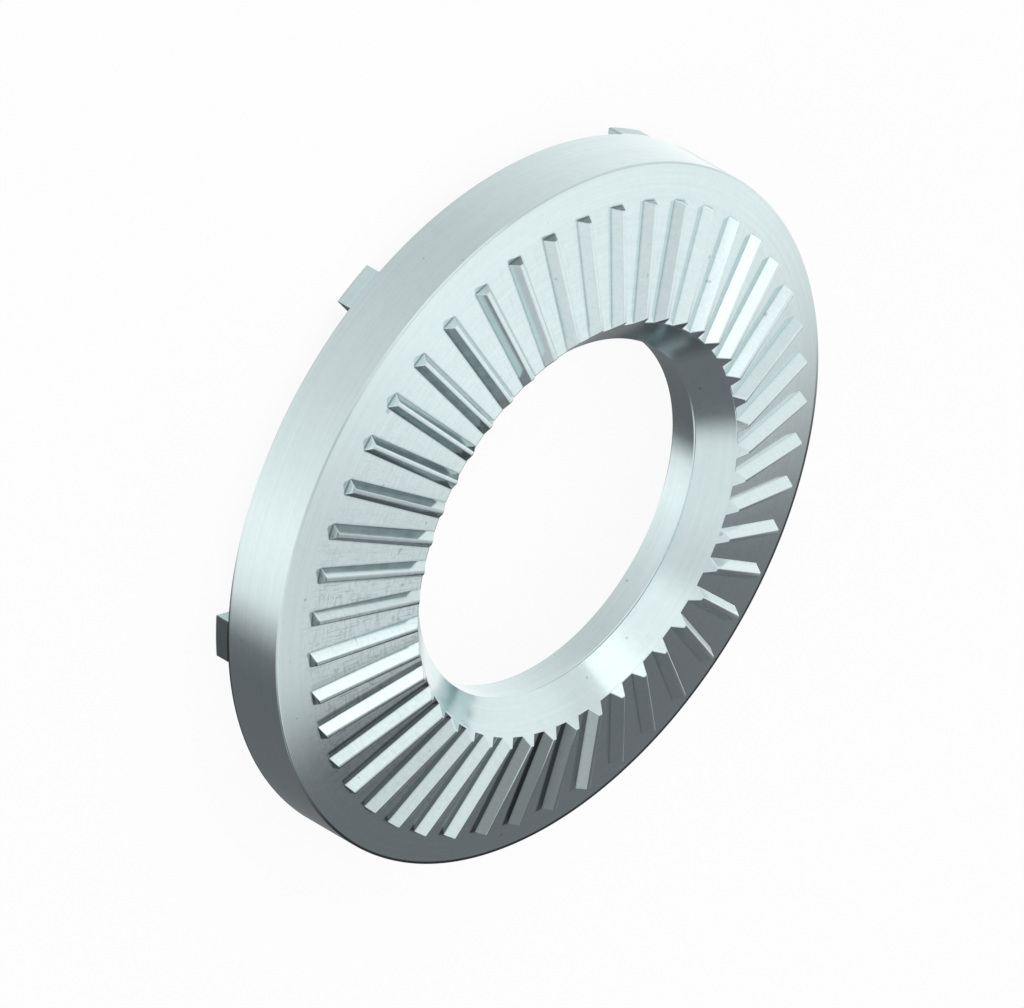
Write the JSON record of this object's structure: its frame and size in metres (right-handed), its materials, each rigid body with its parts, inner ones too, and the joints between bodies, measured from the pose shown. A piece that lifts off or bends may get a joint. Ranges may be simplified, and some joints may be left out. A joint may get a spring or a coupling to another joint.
{
  "type": "contact washer pair",
  "caption": "Pair of nested dished contact washers: raised radial ribs and a countersunk bore on top, small feet under the rim.",
  "frame": {"origin": "on the washers' axis, at the level of the feet's lowest edge", "axes": "+Z along the bore axis, from the feet towards the ribs; the first foot lies 15 degrees round from +X towards +Y"},
  "size_m": [0.0254, 0.0254, 0.0045],
  "materials": {
    "ribbed_steel": "bright satin, cool silver, with fine grain on the rib flanks",
    "footed_steel": "bright satin, cool silver, turned rim"
  },
  "bodies": {
    "root": {"ribbed_washer": "ribbed_steel", "footed_washer": "footed_steel"}
  },
  "joints": []
}
